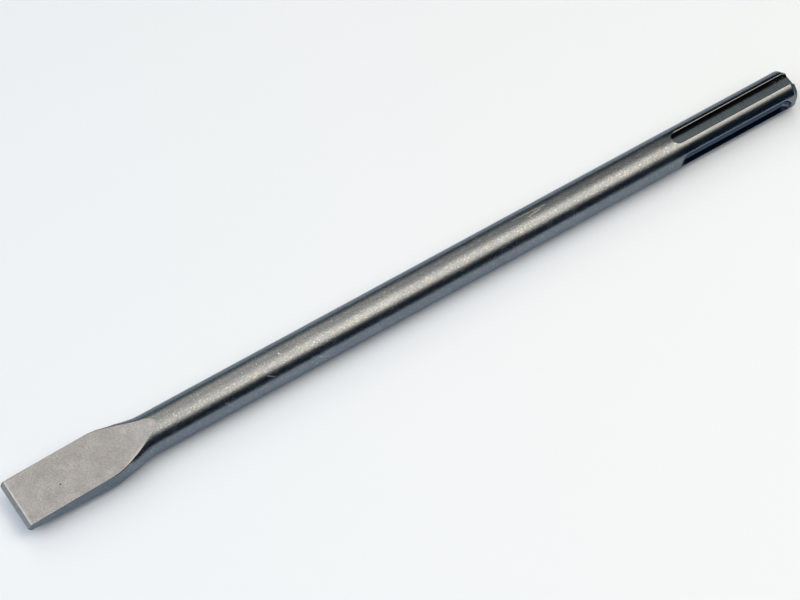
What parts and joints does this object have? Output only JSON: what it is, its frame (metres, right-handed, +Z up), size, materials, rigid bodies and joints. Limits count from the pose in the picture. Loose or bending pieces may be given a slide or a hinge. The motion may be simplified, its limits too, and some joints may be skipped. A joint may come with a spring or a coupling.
{
  "type": "flat chisel for a rotary hammer",
  "caption": "Forged flat chisel with a broad hollow-faced blade and a slotted round drive shank with locking grooves.",
  "frame": {"origin": "below the middle of the chisel's length and width, on the surface that the bar rests on", "axes": "+X along the bar, from the cutting edge to the struck end; +Y across the blade; +Z up, square to the blade's faces"},
  "size_m": [0.4, 0.0236, 0.0179],
  "materials": {
    "tool_steel": "satin dark steel bar, with lighter matt blasted faces on the blade"
  },
  "bodies": {
    "root": {"flat_chisel": "tool_steel"}
  },
  "joints": []
}
